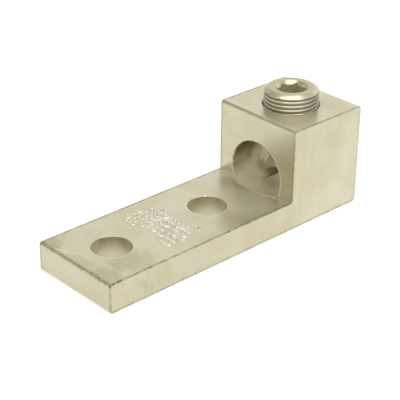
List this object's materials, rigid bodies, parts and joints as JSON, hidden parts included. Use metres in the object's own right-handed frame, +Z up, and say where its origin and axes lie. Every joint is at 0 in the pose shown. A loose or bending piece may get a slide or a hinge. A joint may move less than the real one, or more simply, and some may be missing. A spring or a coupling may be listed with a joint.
{
  "type": "mechanical lug",
  "caption": "Flat drilled tang joined to a bored wire block; a hexagon-socket set screw in its top clamps the bare end of a cable.",
  "frame": {"origin": "middle of the lug's footprint, on the tang's underside", "axes": "+X along the wire, from the tang towards the wire block; +Z up out of the mounting face, along the set screw; +Y across the width"},
  "size_m": [0.12, 0.0382, 0.0459],
  "materials": {
    "plated_body": "tin-plated extrusion, satin, faint grain across the width, light stains and nicks",
    "plated_screw": "tin-plated turned screw, a little brighter than the body"
  },
  "bodies": {
    "lug": {"lug_body": "plated_body"},
    "screw": {"set_screw": "plated_screw"}
  },
  "joints": [
    {"name": "screw_feed", "type": "slide", "parent": "lug", "child": "screw", "axis": [0, 0, 1], "range_m": [-0.01746, 0.00635]}
  ]
}
